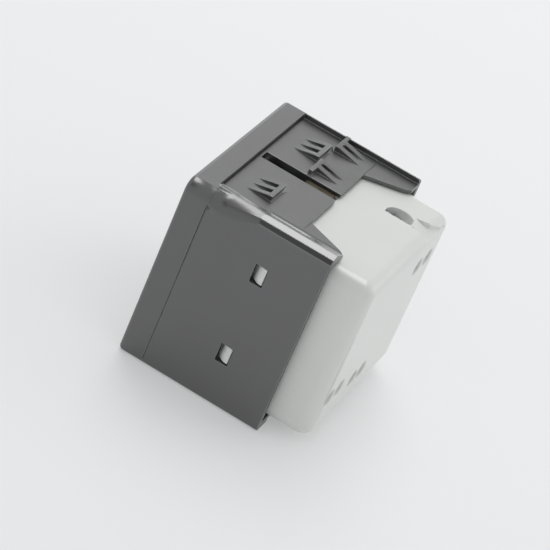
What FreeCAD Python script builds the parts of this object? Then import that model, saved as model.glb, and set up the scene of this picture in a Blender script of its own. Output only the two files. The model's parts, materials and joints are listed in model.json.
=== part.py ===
import FreeCAD, Part
import math
import os

# Outside sizes in millimetres, the front face to the rear along +Y and the height along +Z
WIDTH = 50.0
HEIGHT = 45.0
DEPTH = 44.6
SHELL_DEPTH = 34.7
BAND_DEPTH = 5.85
BAND_TOP_DEPTH = 5.4

# Front cover
CORNER_NEAR_TOP = 3.0
CORNER_NEAR_BOTTOM = 1.2
CORNER_FAR = 1.5
FRONT_ROUND = 1.0
FRONT_PLATE = 1.8
SIDE_WALL = 1.5
STEP = 1.2
PANEL = 0.9
FAR_RIM = 1.4
NEAR_RAIL = 5.2
BAND_GROOVE = 0.15
BAND_GROOVE_DEEP = 0.3
SEAM = 0.15

# Plug well and its floor
WELL_R = 19.6
WELL_DEEP = 17.5
WELL_WALL = 1.3
WELL_FLOOR = 1.6
WELL_LEAD = 0.7
PIN_PITCH = 19.0
PIN_HOLE_R = 2.7
PIN_LEAD = 0.4
GUIDE_WIDE = 4.6
GUIDE_REACH = 17.9
GUIDE_START = 2.0

# Slot over each earth clip
SLOT_X = -1.5
SLOT_WIDE = 3.0
SLOT_START = 6.1

# Panel outline behind the band
PANEL_END = 24.6
CUT_FAR_X = -15.4
CUT_NEAR_X = 12.9
TIP_FAR_X = -18.8
TIP_NEAR_X = 16.7
TIP_BEFORE = 1.4
TIP_ROUND = 0.9
FLANGE_SHORT = 0.4
RIM_END_ROUND = 0.9
END_FAR_X = -19.9
END_NEAR_X = 17.5
SCORE = 0.15

# Sloping near rail behind its rounded front, with two facets outside its ridge
RAIL_BLEND_START = 9.4
RAIL_BLEND_END = 17.5
RAIL_ROUND = 4.3
RAIL_FRONT_RISE = 0.2
RIDGE = (2.8, 0.6)
FACET_EDGE = (0.9, 0.24)
FACET_DROP = 0.7
RAIL_FOOT = 7.1
RAIL_BASE = 5.0

# Claws on the panel
COMB_CENTRES = (10.4, -13.75)
COMB_WIDE = 7.2
COMB_TOOTH = 1.3
COMB_TIP = 9.3
COMB_BACK = (14.2, 15.3)
COMB_GUSSET = (2.0, 0.8)
FORK_CENTRES = (-19.95, -8.15)
FORK_BAR = (15.8, 16.8)
FORK_TIP = 22.2
FORK_WIDE = 4.3
FORK_SLOT = 1.2
FORK_STUB_X = -3.6

# Latch windows in both side walls, and the noses in them
WINDOW_Y = (20.3, 23.3)
WINDOWS_Z = ((8.8, 13.3), (-12.1, -7.7))
NOSE_GAP = 0.2
NOSE_SINK = 0.3
NOSE_RAMP = ((0.0, 0.35), (0.5, 0.62), (1.1, 0.83), (1.8, 0.95))

# Rear housing
HOUSING_SIDE_GAP = 1.0
HOUSING_TOP_GAP = 0.3
HOUSING_ROUND = 3.0
HOUSING_WALL = 1.5
BACK_WALL = 1.6
HOUSING_GAP = 0.3
CHAMBER_WALL = 1.2
CHAMBERS_BEFORE = 0.2
FUNNEL_R = 2.15
WIRE_R = 1.7
FUNNEL_DEEP = 0.9
WIRE_TUBE_R = 2.4
WIRE_TUBE = 2.6

# Wire entries in pairs: their distances in from the housing's side, and how far below its face
FAR_WIRES = (6.9, 12.6, 8.6)
EARTH_WIRES = (-1.0, 3.9, 7.8)
NEAR_WIRES = (9.6, 4.4, 9.9)

# Terminals, with the screw leaning back
SCREW_LEAN = 22.0
SCREW_ASIDE = 3.1
SCREW_BEFORE = 8.1
SCREW_ABOVE = 8.6
SCREW_HOLE_R = 3.0
SCREW_TUBE_R = 3.9
SCREW_HEAD_R = 2.75
SCREW_HEAD = 2.0
SCREW_SINK = 2.0
SCREW_R = 1.75
SCREW_LONG = 2.1
SCREW_LIP = 0.7
SCREW_LIP_X = 0.85
SCREW_SLOT = 0.8
SCREW_SLOT_DEEP = 0.9
SCREW_TURN = 30
SCOOP_FAR = ((-3.0, 0.0), (0.0, -0.2), (3.2, 0.9))
SCOOP_FAR_END = 6.9
SCOOP_NEAR = ((-3.0, 2.15), (0.5, 2.0), (3.0, 1.65))
SCOOP_NEAR_END = 1.9
THREAD_GAP = 0.1
BLOCKS_SPARE = 6.6
BLOCK_BEFORE = 13.0
BLOCK_LONG = 7.0
BLOCK_TOP = 4.7
WINDOW_TOP = 2.7
BLOCK_SIDES = 2.0
TONGUE_BELOW = 1.3
TONGUE = 0.8
BLOCK_FLOOR = 0.8
PLATE_IN = 0.6
PLATE_LONG = 4.8
PLATE_SIDES = 0.4
PLATE_LOW = 1.2
PLATE = 1.0

# Contacts
SHEET = 0.6
FORK_HALF = 2.6
PINCH = 2.65
FORK_OPEN = 3.5
FORK_BODY = 3.3
FORK_Y = (20.4, 22.6, 26.0)
FORK_BEHIND = 0.9
SPRING_SHEET = 0.5
SPRING_Y = (23.2, 25.6)
SPRING_SIDE = 3.1
SPRING_FACE = 3.9
SPRING_TAIL = 2.2
STRIP_WIDE = 2.6
STRIP_LINE = ((7.0, 19.9), (10.5, 17.6), (15.7, 18.2), (16.9, 20.3))
STRIP_BACK = 23.3
EARTH_PLATE = 0.8
RIVET_R = 0.6
RIVET_HEAD_R = 1.1
RIVET_HEAD = 0.4
RIVETS_Z = (-7.5, -13.5)

HALF_W = WIDTH / 2
HALF_H = HEIGHT / 2
PANEL_Z = HALF_H - STEP
UNDER_PANEL = PANEL_Z - PANEL
FAR_IN = -HALF_W + FAR_RIM
RAIL_IN = HALF_W - NEAR_RAIL
FLOOR_BACK = WELL_DEEP + WELL_FLOOR
FLANGE_END = SHELL_DEPTH - FLANGE_SHORT
TIP_Y = SHELL_DEPTH - TIP_BEFORE
CAVITY_X = HALF_W - SIDE_WALL
HOUSE_X = CAVITY_X - HOUSING_SIDE_GAP
HOUSE_Z = UNDER_PANEL - HOUSING_TOP_GAP
HOUSE_FRONT = FLOOR_BACK + HOUSING_GAP
PIN_X = PIN_PITCH / 2
OVER = 1.0
LEAN = math.radians(SCREW_LEAN)

# Terminals and wire entries, placed from the housing's sides and back
SCREW_Y = DEPTH - SCREW_BEFORE
BLOCK_WIDE = (2 * (HOUSE_X - HOUSING_WALL - CHAMBER_WALL) - BLOCKS_SPARE) / 3
BLOCK_FRONT = DEPTH - BLOCK_BEFORE
BLOCK_BACK = BLOCK_FRONT + BLOCK_LONG
REAR_CHAMBERS = BLOCK_FRONT - CHAMBERS_BEFORE
WINDOW_WIDE = BLOCK_WIDE - BLOCK_SIDES
PLATE_WIDE = WINDOW_WIDE - PLATE_SIDES
FORK_BACK = BLOCK_FRONT - FORK_BEHIND
ENTRY_FAR = (FAR_WIRES[0] - HOUSE_X, FAR_WIRES[1] - HOUSE_X, HOUSE_Z - FAR_WIRES[2])
ENTRY_EARTH = (EARTH_WIRES[0], EARTH_WIRES[1], EARTH_WIRES[2] - HOUSE_Z)
ENTRY_NEAR = (HOUSE_X - NEAR_WIRES[0], HOUSE_X - NEAR_WIRES[1], NEAR_WIRES[2] - HOUSE_Z)


def box(x0, x1, y0, y1, z0, z1):
    """A block between two corners."""
    return Part.makeBox(x1 - x0, y1 - y0, z1 - z0, FreeCAD.Vector(x0, y0, z0))


def rod(x, z, radius, y0, y1):
    """A round bar along the depth."""
    return Part.makeCylinder(radius, y1 - y0, FreeCAD.Vector(x, y0, z), FreeCAD.Vector(0, 1, 0))


def taper(x, z, r0, r1, y0, y1):
    """A cone along the depth, from one radius to the other."""
    return Part.makeCone(r0, r1, y1 - y0, FreeCAD.Vector(x, y0, z), FreeCAD.Vector(0, 1, 0))


def plan(points, z0, z1):
    """A plan outline of (x, y) points raised from one height to another."""
    loop = [FreeCAD.Vector(x, y, z0) for x, y in points]
    return Part.Face(Part.makePolygon(loop + loop[:1])).extrude(FreeCAD.Vector(0, 0, z1 - z0))


def side(points, x0, x1):
    """A side outline of (y, z) points carried from one x to another."""
    loop = [FreeCAD.Vector(x0, y, z) for y, z in points]
    return Part.Face(Part.makePolygon(loop + loop[:1])).extrude(FreeCAD.Vector(x1 - x0, 0, 0))


def upside(shape):
    """The shape turned half round the long axis, for the lower half."""
    turned = shape.copy()
    turned.rotate(FreeCAD.Vector(0, 0, 0), FreeCAD.Vector(0, 1, 0), 180)
    return turned


def mirrored(shape):
    """The shape mirrored from the upper half to the lower."""
    return shape.mirror(FreeCAD.Vector(0, 0, 0), FreeCAD.Vector(0, 0, 1))


def fused(shapes):
    """One solid of several that touch or overlap."""
    return shapes[0].multiFuse(shapes[1:]).removeSplitter()


def rounded(shape, radius, wanted):
    """The shape with the edges that the test picks rounded."""
    edges = [edge for edge in shape.Edges if wanted(edge)]
    return shape.makeFillet(radius, edges)


def along_y(edge, x, z):
    """Whether an edge runs along the depth at x and z."""
    ends = [vertex.Point for vertex in edge.Vertexes]
    return len(ends) == 2 and all(abs(p.x - x) < 1e-4 and abs(p.z - z) < 1e-4 for p in ends)


def upright(edge, x, y):
    """Whether an edge stands upright at x and y."""
    ends = [vertex.Point for vertex in edge.Vertexes]
    return len(ends) == 2 and all(abs(p.x - x) < 1e-4 and abs(p.y - y) < 1e-4 for p in ends)


def on_plane_y(edge, y):
    """Whether an edge lies in one plane across the depth."""
    box_of = edge.BoundBox
    return abs(box_of.YMin - y) < 1e-4 and abs(box_of.YMax - y) < 1e-4


def ribbon(points, thick, x0, x1):
    """Folded sheet: a line of (y, z) points given a thickness and carried across in x."""
    half = thick / 2
    left = []
    right = []
    for index, (y, z) in enumerate(points):
        before = points[max(index - 1, 0)]
        after = points[min(index + 1, len(points) - 1)]
        first = unit(before, (y, z)) if index else unit((y, z), after)
        last = unit((y, z), after) if index < len(points) - 1 else first
        normal = (-(first[1] + last[1]), first[0] + last[0])
        size = math.hypot(*normal)
        normal = (normal[0] / size, normal[1] / size)
        reach = half / (normal[0] * -first[1] + normal[1] * first[0])
        left.append((y + normal[0] * reach, z + normal[1] * reach))
        right.append((y - normal[0] * reach, z - normal[1] * reach))
    return side(left + right[::-1], x0, x1)


def unit(start, end):
    """The direction between two points, of length one."""
    size = math.hypot(end[0] - start[0], end[1] - start[1])
    return ((end[0] - start[0]) / size, (end[1] - start[1]) / size)


# Front cover: band, well, walls, sloping rail, panels and claws


def cover_block():
    """The solid outside of the cover, rounded along its length and round the front."""
    block = box(-HALF_W, HALF_W, 0, SHELL_DEPTH, -HALF_H, HALF_H)
    block = rounded(block, CORNER_NEAR_TOP, lambda e: along_y(e, HALF_W, HALF_H))
    block = rounded(block, CORNER_NEAR_BOTTOM, lambda e: along_y(e, HALF_W, -HALF_H))
    block = rounded(block, CORNER_FAR, lambda e: along_y(e, -HALF_W, HALF_H) or along_y(e, -HALF_W, -HALF_H))
    return rounded(block, FRONT_ROUND, lambda e: on_plane_y(e, 0))


def rail_sections():
    """Outline of the near rail where it is round, and where it is sloping."""
    foot = HALF_W - RAIL_FOOT
    base = HALF_H - RAIL_BASE
    top = HALF_H + RAIL_FRONT_RISE
    turn = RAIL_ROUND * math.sqrt(0.5)
    half_way = (HALF_W - RAIL_ROUND + turn, top - RAIL_ROUND + turn)
    front = [(foot, base), (HALF_W, base), (HALF_W, top - RAIL_ROUND), half_way, (HALF_W - RAIL_ROUND, top),
             (RAIL_IN, top), (RAIL_IN, PANEL_Z), (foot, PANEL_Z)]
    ridge = (HALF_W - RIDGE[0], HALF_H + RIDGE[1])
    slope = (ridge[1] - PANEL_Z) / (ridge[0] - foot)
    upper = RAIL_IN + (ridge[0] - RAIL_IN) / 4
    lower = (RAIL_IN + foot) / 2
    rear = [(foot, base), (HALF_W, base), (HALF_W, HALF_H - FACET_DROP),
            (HALF_W - FACET_EDGE[0], HALF_H + FACET_EDGE[1]), ridge,
            (upper, PANEL_Z + slope * (upper - foot)), (lower, PANEL_Z + slope * (lower - foot)), (foot, PANEL_Z)]
    return front, rear


def section_wire(points, y, arcs=()):
    """A closed outline across the depth, round after the given corners."""
    corners = [FreeCAD.Vector(x, y, z) for x, z in points]
    centre = FreeCAD.Vector(HALF_W - RAIL_ROUND, y, HALF_H + RAIL_FRONT_RISE - RAIL_ROUND)
    edges = []
    for index, start in enumerate(corners):
        end = corners[(index + 1) % len(corners)]
        if index in arcs:
            outward = ((start + end) / 2 - centre).normalize()
            edges.append(Part.Arc(start, centre + outward * RAIL_ROUND, end).toShape())
        else:
            edges.append(Part.makeLine(start, end))
    return Part.Wire(edges)


def rail():
    """The near rail behind the band: round, then a blend, then a slope inside and two facets outside."""
    front, rear = rail_sections()
    arcs = (2, 3)
    round_part = Part.Face(section_wire(front, BAND_DEPTH, arcs)).extrude(
        FreeCAD.Vector(0, RAIL_BLEND_START - BAND_DEPTH, 0))
    blend = Part.makeLoft([section_wire(front, RAIL_BLEND_START, arcs), section_wire(rear, RAIL_BLEND_END)],
                          True, True)
    straight = Part.Face(section_wire(rear, RAIL_BLEND_END)).extrude(
        FreeCAD.Vector(0, SHELL_DEPTH - RAIL_BLEND_END, 0))
    return round_part, blend, straight


def comb(centre):
    """Claw of three ramped teeth that rise to a bar at their rear."""
    low = centre - COMB_WIDE / 2
    pitch = (COMB_WIDE - COMB_TOOTH) / 2
    pieces = []
    for index in range(3):
        start = low + index * pitch
        pieces.append(side([(COMB_TIP, PANEL_Z - PANEL / 2), (COMB_TIP, PANEL_Z), (COMB_BACK[0], HALF_H - 0.1),
                            (COMB_BACK[1], HALF_H), (COMB_BACK[1], PANEL_Z - PANEL / 2)], start, start + COMB_TOOTH))
    pieces.append(side([(COMB_BACK[0], PANEL_Z - PANEL / 2), (COMB_BACK[0], HALF_H - 0.1), (COMB_BACK[1], HALF_H),
                        (COMB_BACK[1], PANEL_Z - PANEL / 2)], low, low + COMB_WIDE))
    far_top = FreeCAD.Vector(low, COMB_BACK[1], HALF_H)
    far_low = FreeCAD.Vector(low, COMB_BACK[1], PANEL_Z)
    foot = FreeCAD.Vector(low, COMB_BACK[1] + COMB_GUSSET[1], PANEL_Z)
    end = FreeCAD.Vector(low + COMB_GUSSET[0], COMB_BACK[1], PANEL_Z)
    pieces.append(corner_solid(far_top, far_low, foot, end))
    return fused(pieces)


def corner_solid(top, inner, first, second):
    """A small gusset between four corners."""
    faces = [(top, inner, first), (top, inner, second), (top, first, second), (inner, first, second)]
    return Part.Solid(Part.Shell([Part.Face(Part.makePolygon([*face, face[0]])) for face in faces]))


def fork(centre, bar_from, bar_to):
    """Claw of a bar with two ramped tines behind it, round ended between them."""
    half = FORK_WIDE / 2
    root = PANEL_Z - PANEL / 2
    ramp = side([(FORK_BAR[0], root), (FORK_BAR[0], HALF_H), (FORK_BAR[1], HALF_H), (FORK_TIP, PANEL_Z),
                 (FORK_TIP, root)], centre - half, centre + half)
    between = fused([box(centre - FORK_SLOT / 2, centre + FORK_SLOT / 2, FORK_BAR[1] + FORK_SLOT / 2, FORK_TIP + OVER,
                         PANEL_Z, HALF_H + OVER),
                     Part.makeCylinder(FORK_SLOT / 2, STEP + OVER,
                                       FreeCAD.Vector(centre, FORK_BAR[1] + FORK_SLOT / 2, PANEL_Z))])
    bar = box(bar_from, bar_to, FORK_BAR[0], FORK_BAR[1], root, HALF_H)
    return fused([ramp.cut(between), bar])


def claws():
    """The claws that grip the edge of a cut-out, on the upper panel."""
    first, second = FORK_CENTRES
    return [comb(centre) for centre in COMB_CENTRES] + [
        fork(first, FAR_IN - FAR_RIM / 2, first + FORK_WIDE / 2),
        fork(second, second - FORK_WIDE / 2, FORK_STUB_X)]


def panel_cut():
    """What is missing from the panel behind its straight rear edge, between the flanges."""
    rear = SHELL_DEPTH + OVER
    outline = [(CUT_FAR_X, PANEL_END), (CUT_NEAR_X, PANEL_END), (TIP_NEAR_X, TIP_Y), (END_NEAR_X, FLANGE_END),
               (HALF_W - RAIL_FOOT, FLANGE_END), (HALF_W - RAIL_FOOT, rear), (END_FAR_X, rear),
               (END_FAR_X, SHELL_DEPTH), (TIP_FAR_X, TIP_Y)]
    cut = plan(outline, UNDER_PANEL - OVER, HALF_H + OVER)
    tips = [(TIP_NEAR_X, TIP_Y), (TIP_FAR_X, TIP_Y)]
    return rounded(cut, TIP_ROUND, lambda e: any(upright(e, x, y) for x, y in tips))


def rim_end():
    """What rounds the far rim's upper rear corner."""
    y0 = SHELL_DEPTH - RIM_END_ROUND
    z0 = HALF_H - RIM_END_ROUND
    corner = box(-HALF_W - OVER, FAR_IN, y0, SHELL_DEPTH + OVER, z0, HALF_H + OVER)
    return corner.cut(Part.makeCylinder(RIM_END_ROUND, SIDE_WALL + 2 * OVER, FreeCAD.Vector(-HALF_W - OVER, y0, z0),
                                        FreeCAD.Vector(1, 0, 0)))


def scores():
    """Fine line across both flanges where the panel's rear edge ends."""
    y0 = PANEL_END - SCORE / 2
    z0 = PANEL_Z - SCORE
    return [box(CUT_NEAR_X - OVER / 2, TIP_NEAR_X, y0, y0 + SCORE, z0, HALF_H),
            box(FAR_IN, CUT_FAR_X + OVER / 2, y0, y0 + SCORE, z0, HALF_H)]


def well_cut():
    """The plug well with two guide ribs left standing and a small lead at the mouth."""
    hole = fused([rod(0, 0, WELL_R, -OVER, WELL_DEEP),
                  taper(0, 0, WELL_R + WELL_LEAD + OVER, WELL_R, -OVER, WELL_LEAD)])
    outer = WELL_R + WELL_LEAD
    rib = plan([(GUIDE_REACH, WELL_DEEP + OVER), (GUIDE_REACH, GUIDE_START + STEP), (outer, GUIDE_START),
                (outer, WELL_DEEP + OVER)], -GUIDE_WIDE / 2, GUIDE_WIDE / 2)
    return hole.cut(rib).cut(rib.mirror(FreeCAD.Vector(0, 0, 0), FreeCAD.Vector(1, 0, 0)))


def pin_cut(x):
    """One pin hole through the well's floor, with a small lead."""
    return fused([rod(x, 0, PIN_HOLE_R, WELL_DEEP - OVER, FLOOR_BACK + OVER),
                  taper(x, 0, PIN_HOLE_R + PIN_LEAD, PIN_HOLE_R, WELL_DEEP, WELL_DEEP + PIN_LEAD)])


def front_cover():
    """The dark moulding: band, well, side walls, panels, rail and claws in one piece."""
    body = cover_block()
    recess = box(FAR_IN, RAIL_IN, BAND_TOP_DEPTH, SHELL_DEPTH + OVER, PANEL_Z, HALF_H + OVER)
    groove = box(FAR_IN, RAIL_IN, BAND_TOP_DEPTH, BAND_TOP_DEPTH + BAND_GROOVE, PANEL_Z - BAND_GROOVE_DEEP, HALF_H)
    foot = HALF_W - RAIL_FOOT
    corner = box(foot, HALF_W + OVER, BAND_DEPTH, SHELL_DEPTH + OVER, HALF_H - RAIL_BASE, HALF_H + OVER)
    body = body.cut([recess, groove, mirrored(recess), mirrored(groove), corner])
    body = fused([body, *rail()])
    cavity = box(-CAVITY_X, CAVITY_X, FRONT_PLATE, SHELL_DEPTH + OVER, -UNDER_PANEL, UNDER_PANEL)
    cavity = cavity.cut(rod(0, 0, WELL_R + WELL_WALL, 0, FLOOR_BACK))
    body = body.cut(cavity)
    cuts = [well_cut(), pin_cut(PIN_X), pin_cut(-PIN_X), panel_cut(), mirrored(panel_cut()), rim_end(),
            mirrored(rim_end())]
    slot = box(SLOT_X - SLOT_WIDE / 2, SLOT_X + SLOT_WIDE / 2, SLOT_START, PANEL_END + OVER,
               WELL_R - STEP, HALF_H + OVER)
    cuts += [slot, mirrored(slot)] + scores() + [mirrored(score) for score in scores()]
    for low, high in WINDOWS_Z:
        cuts += [box(CAVITY_X - OVER, HALF_W + OVER, *WINDOW_Y, low, high),
                 box(-HALF_W - OVER, -CAVITY_X + OVER, *WINDOW_Y, low, high)]
    cuts += [box(HALF_W - SEAM, HALF_W + OVER, BAND_DEPTH, BAND_DEPTH + SEAM, -HALF_H, HALF_H),
             box(-HALF_W - OVER, -HALF_W + SEAM, BAND_DEPTH, BAND_DEPTH + SEAM, -HALF_H, HALF_H)]
    body = body.cut(cuts)
    return fused([body] + claws() + [mirrored(claw) for claw in claws()])


# Rear housing: back box with three chambers, latch noses, wire entries and screw openings


def terminals():
    """Each terminal's centre between its two wires, its height under the face and which way it faces."""
    places = []
    for entry in (ENTRY_FAR, ENTRY_NEAR, ENTRY_EARTH):
        way = 1 if entry[2] > 0 else -1
        places.append(((entry[0] + entry[1]) / 2, way * min(abs(entry[2]), HOUSE_Z - SCREW_ABOVE), way))
    return places


def seated(shape, terminal):
    """A terminal piece modelled round the origin moved to its place, turned for the lower half."""
    centre, height, way = terminal
    moved = shape.copy()
    if way < 0:
        moved = upside(moved)
    moved.translate(FreeCAD.Vector(centre, 0, height))
    return moved


def lean_point(down):
    """Point on the screw's leaning line, so far below the housing's face over an upright terminal."""
    return FreeCAD.Vector(SCREW_ASIDE, SCREW_Y - down * math.sin(LEAN), SCREW_ABOVE - down * math.cos(LEAN))


def lean_rod(radius, top, bottom):
    """A round bar on the screw's leaning line."""
    foot = lean_point(bottom)
    return Part.makeCylinder(radius, bottom - top, foot, FreeCAD.Vector(0, math.sin(LEAN), math.cos(LEAN)))


def screw_opening(terminal):
    """Hole over a screw, with a thin lip of the housing's wall left standing on one side."""
    face = HOUSE_Z - abs(terminal[1])
    hole = lean_rod(SCREW_HOLE_R, -4 * OVER, SCREW_SINK + SCREW_HEAD + OVER)
    side_x = SCREW_ASIDE + SCREW_LIP_X
    lip = box(side_x, SCREW_ASIDE + 2 * SCREW_HOLE_R, 0, DEPTH, face - SCREW_LIP, face + 4 * OVER)
    return hole.cut(lip)


def screw_scoop(terminal):
    """Flat that falls from the screw's opening to the back edge and widens on the way."""
    face = HOUSE_Z - abs(terminal[1])
    fall = math.tan(LEAN)
    start = SCREW_Y + (face - SCREW_ABOVE) * fall + SCREW_HOLE_R
    far = SCREW_ASIDE - SCREW_HOLE_R
    near = SCREW_ASIDE + SCREW_HOLE_R
    rear = DEPTH + OVER
    front = start - SCREW_HOLE_R
    wedge = side([(front, face + SCREW_HOLE_R * fall), (rear, face - (rear - start) * fall),
                  (rear, face + 2 * SCREW_HOLE_R), (front, face + 2 * SCREW_HOLE_R)],
                 far - DEPTH, near + DEPTH)
    far_line = [(far - aside, start + behind) for behind, aside in SCOOP_FAR] + [(far - SCOOP_FAR_END, rear)]
    near_line = [(near - aside, start + behind) for behind, aside in SCOOP_NEAR] + [(near - SCOOP_NEAR_END, rear)]
    return wedge.common(plan(far_line + near_line[::-1], -DEPTH, DEPTH))


def nose(low, high):
    """Latch nose on the near side, ramped towards the front."""
    front = WINDOW_Y[0] + NOSE_GAP
    back = WINDOW_Y[1] - NOSE_GAP
    tip = HALF_W - NOSE_SINK
    root = HOUSE_X - HOUSING_WALL / 2
    rise = tip - HOUSE_X
    ramp = [(HOUSE_X + rise * share, front + behind) for behind, share in NOSE_RAMP]
    outline = [(root, front), *ramp, (tip, back), (root, back)]
    return plan(outline, low + NOSE_GAP, high - NOSE_GAP)


def chambers():
    """The three hollows open to the front, each stepped to suit its contact and its terminal."""
    inner_x = HOUSE_X - HOUSING_WALL
    inner_z = HOUSE_Z - HOUSING_WALL
    back = DEPTH - BACK_WALL
    start = HOUSE_FRONT - OVER
    strip_far = SLOT_X - SLOT_WIDE / 2 - 0.2
    strip_near = -strip_far
    earth_x = terminals()[2][0]
    rear_far = earth_x - BLOCK_WIDE / 2 - 0.1
    rear_near = earth_x + BLOCK_WIDE / 2 + 0.3
    return [box(-inner_x, strip_far - CHAMBER_WALL, start, REAR_CHAMBERS, -inner_z, inner_z),
            box(-inner_x, rear_far - CHAMBER_WALL, REAR_CHAMBERS, back, -inner_z, inner_z),
            box(strip_far, strip_near, start, REAR_CHAMBERS, -inner_z, inner_z),
            box(rear_far, rear_near, REAR_CHAMBERS, back, -inner_z, 0),
            box(strip_near + CHAMBER_WALL, inner_x, start, REAR_CHAMBERS, -inner_z, inner_z),
            box(rear_near + CHAMBER_WALL, inner_x, REAR_CHAMBERS, back, -inner_z, inner_z)]


def entry_tubes():
    """Guide tubes inside the back wall, one for each wire."""
    back = DEPTH - BACK_WALL
    return [rod(x, entry[2], WIRE_TUBE_R, back - WIRE_TUBE, DEPTH - BACK_WALL / 2)
            for entry in (ENTRY_FAR, ENTRY_NEAR, ENTRY_EARTH) for x in entry[:2]]


def entry_cuts():
    """Wire openings in the back wall: a funnel, then the hole on through its tube."""
    cuts = []
    for entry in (ENTRY_FAR, ENTRY_NEAR, ENTRY_EARTH):
        for x in entry[:2]:
            cuts.append(rod(x, entry[2], WIRE_R, BLOCK_BACK, DEPTH + OVER))
            cuts.append(taper(x, entry[2], WIRE_R, FUNNEL_R, DEPTH - FUNNEL_DEEP, DEPTH))
    return cuts


def shelves():
    """Rests that the terminals, the contacts and the earth strip lie against."""
    back = DEPTH - BACK_WALL
    rests = []
    for terminal in terminals():
        low = -TONGUE_BELOW - TONGUE - BLOCK_FLOOR
        rest = box(-BLOCK_WIDE / 2 + 1.5, BLOCK_WIDE / 2 - 1.5, BLOCK_FRONT + OVER, back, low - CHAMBER_WALL, low)
        rests.append(seated(rest, terminal))
    for x in (-PIN_X, PIN_X):
        rests.append(box(x - OVER, x + OVER, FORK_BACK + SHEET / 2, back, -2 * OVER, 2 * OVER))
    rests.append(box(SLOT_X - OVER, SLOT_X + OVER, STRIP_BACK + SHEET / 2, back, -3 * OVER, 3 * OVER))
    return rests


def rear_housing():
    """The white back box."""
    block = box(-HOUSE_X, HOUSE_X, HOUSE_FRONT, DEPTH, -HOUSE_Z, HOUSE_Z)
    block = rounded(block, HOUSING_ROUND, lambda e: abs(e.Vertexes[0].Y - e.Vertexes[1].Y) > OVER)
    block = rounded(block, HOUSING_ROUND, lambda e: on_plane_y(e, DEPTH))
    inside = block.copy()
    block = block.cut(chambers())
    tubes = [seated(lean_rod(SCREW_TUBE_R, -4 * OVER, SCREW_SINK + SCREW_HEAD), terminal) for terminal in terminals()]
    inner = [tube.common(inside) for tube in tubes] + entry_tubes() + shelves()
    block = fused([block] + inner)
    cuts = entry_cuts()
    for terminal in terminals():
        cuts += [seated(screw_opening(terminal), terminal), seated(screw_scoop(terminal), terminal)]
    notch = box(SLOT_X - SLOT_WIDE / 2 - 0.2, SLOT_X + SLOT_WIDE / 2 + 0.2, HOUSE_FRONT - OVER,
                STRIP_BACK + SHEET / 2 + 0.5, HOUSE_Z - HOUSING_WALL - OVER, HOUSE_Z + OVER)
    block = block.cut(cuts + [notch, mirrored(notch)])
    noses = [nose(low, high) for low, high in WINDOWS_Z]
    far_noses = [one.mirror(FreeCAD.Vector(0, 0, 0), FreeCAD.Vector(1, 0, 0)) for one in noses]
    return fused([block] + noses + far_noses)


# Metal inside: contacts, earth strip and terminals


def pin_fork(x):
    """Folded fork that grips one pin from above and below."""
    y0, y1, y2 = FORK_Y
    half = [(y0, FORK_OPEN), (y1, PINCH), (y2, FORK_BODY), (FORK_BACK, FORK_BODY)]
    line = half + [(y, -z) for y, z in half[::-1]]
    return ribbon(line, SHEET, x - FORK_HALF, x + FORK_HALF)


def pole_contact(x, terminal):
    """Pin fork with its plate and the tongue that lies in the terminal."""
    centre, height, way = terminal
    plate_y0 = FORK_BACK - SHEET / 2
    low = min(x - FORK_HALF, centre - PLATE_WIDE / 2)
    high = max(x + FORK_HALF, centre + PLATE_WIDE / 2)
    tongue_z = height - way * TONGUE_BELOW
    plate = box(low, high, plate_y0, plate_y0 + SHEET, *sorted((way * OVER, tongue_z)))
    tongue = box(centre - PLATE_WIDE / 2, centre + PLATE_WIDE / 2, plate_y0, BLOCK_BACK - 0.2,
                 *sorted((tongue_z, tongue_z - way * TONGUE)))
    return fused([pin_fork(x), plate, tongue])


def fork_spring(x):
    """Steel clip that closes the fork."""
    corners = [(SPRING_TAIL, SPRING_FACE), (-SPRING_SIDE, SPRING_FACE), (-SPRING_SIDE, -SPRING_FACE),
               (SPRING_TAIL, -SPRING_FACE)]
    clip = ribbon(corners, SPRING_SHEET, 0, SPRING_Y[1] - SPRING_Y[0])
    clip.rotate(FreeCAD.Vector(0, 0, 0), FreeCAD.Vector(0, 0, 1), -90)
    clip.translate(FreeCAD.Vector(x, SPRING_Y[1], 0))
    return clip


def earth_strip():
    """One folded strip with a spring clip at each end that stands in the well."""
    half = list(STRIP_LINE) + [(STRIP_BACK, STRIP_LINE[-1][1])]
    line = half + [(y, -z) for y, z in half[::-1]]
    strip = ribbon(line, SHEET, SLOT_X - STRIP_WIDE / 2, SLOT_X + STRIP_WIDE / 2)
    return strip.cut([rivet_hole(z) for z in RIVETS_Z])


def earth_bar():
    """Plate on the strip's rear with a tongue that lies in the earth terminal."""
    centre, height, way = terminals()[2]
    y0 = STRIP_BACK + SHEET / 2
    near = -(SLOT_X - STRIP_WIDE / 2)
    tongue_z = height + TONGUE_BELOW
    plate = box(SLOT_X - STRIP_WIDE / 2, near, y0, y0 + EARTH_PLATE, RIVETS_Z[1] - OVER, RIVETS_Z[0] + OVER)
    neck = box(SLOT_X - STRIP_WIDE / 2, near, y0, BLOCK_FRONT + OVER, tongue_z, tongue_z + TONGUE)
    tongue = box(centre - PLATE_WIDE / 2, centre + PLATE_WIDE / 2, BLOCK_FRONT + 0.3, BLOCK_BACK - 0.2,
                 tongue_z, tongue_z + TONGUE)
    return fused([plate, neck, tongue]).cut([rivet_hole(z) for z in RIVETS_Z])


def rivet_hole(z):
    """Hole for one rivet through strip and bar."""
    return rod(SLOT_X, z, RIVET_R, STRIP_BACK - OVER, STRIP_BACK + SHEET / 2 + EARTH_PLATE + OVER)


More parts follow.
